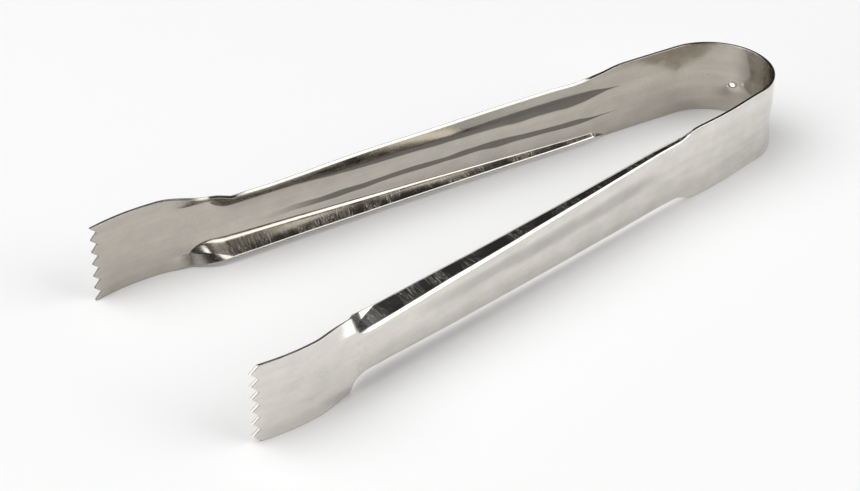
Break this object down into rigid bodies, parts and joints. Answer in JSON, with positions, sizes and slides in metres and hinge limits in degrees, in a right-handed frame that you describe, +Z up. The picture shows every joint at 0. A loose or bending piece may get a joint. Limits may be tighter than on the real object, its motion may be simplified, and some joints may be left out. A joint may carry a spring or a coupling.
{
  "type": "ice tongs",
  "caption": "Spring-steel ice tongs bent from one pressed strip, with serrated claws, channelled arms and a flat bow that flexes when squeezed.",
  "frame": {"origin": "middle of the tongs' bounding box, on the surface that the strip's lower edges rest on", "axes": "+X towards the bow, -X towards the claws; +Y towards the right arm as held; +Z up, along the strip's width"},
  "size_m": [0.1801, 0.0688, 0.0195],
  "materials": {
    "polished_steel": "bright rolled stainless steel with fine handling scratches",
    "satin_steel": "satin stainless steel, finely pitted"
  },
  "bodies": {
    "crown": {"bow_crown": "polished_steel"},
    "right_shoulder": {"right_bow_shoulder": "polished_steel"},
    "right_side": {"right_bow_side": "polished_steel"},
    "right_arm": {"right_flank": "polished_steel", "right_channel": "polished_steel", "right_claw": "satin_steel"},
    "left_shoulder": {"left_bow_shoulder": "polished_steel"},
    "left_side": {"left_bow_side": "polished_steel"},
    "left_arm": {"left_flank": "polished_steel", "left_channel": "polished_steel", "left_claw": "satin_steel"}
  },
  "joints": [
    {"name": "squeeze", "type": "hinge", "parent": "crown", "child": "right_shoulder", "pos_m": [0.08883, 0.00479, 0.00975], "axis": [0, 0, 1], "range_deg": [0, 3.6], "stiffness_Nm_per_rad": 86},
    {"name": "right_side_flex", "type": "hinge", "parent": "right_shoulder", "child": "right_side", "pos_m": [0.08388, 0.01188, 0.00975], "axis": [0, 0, 1], "range_deg": [0, 3.6]},
    {"name": "right_arm_flex", "type": "hinge", "parent": "right_side", "child": "right_arm", "pos_m": [0.07387, 0.01536, 0.00975], "axis": [0, 0, 1], "range_deg": [0, 3.6]},
    {"name": "left_shoulder_flex", "type": "hinge", "parent": "crown", "child": "left_shoulder", "pos_m": [0.08883, -0.00479, 0.00975], "axis": [0, 0, -1], "range_deg": [0, 3.6]},
    {"name": "left_side_flex", "type": "hinge", "parent": "left_shoulder", "child": "left_side", "pos_m": [0.08388, -0.01188, 0.00975], "axis": [0, 0, -1], "range_deg": [0, 3.6]},
    {"name": "left_arm_flex", "type": "hinge", "parent": "left_side", "child": "left_arm", "pos_m": [0.07387, -0.01536, 0.00975], "axis": [0, 0, -1], "range_deg": [0, 3.6]}
  ],
  "couplings": [
    {"joint": "right_side_flex", "follows": "squeeze", "ratio": 1},
    {"joint": "right_arm_flex", "follows": "squeeze", "ratio": 1},
    {"joint": "left_shoulder_flex", "follows": "squeeze", "ratio": 1},
    {"joint": "left_side_flex", "follows": "squeeze", "ratio": 1},
    {"joint": "left_arm_flex", "follows": "squeeze", "ratio": 1}
  ]
}
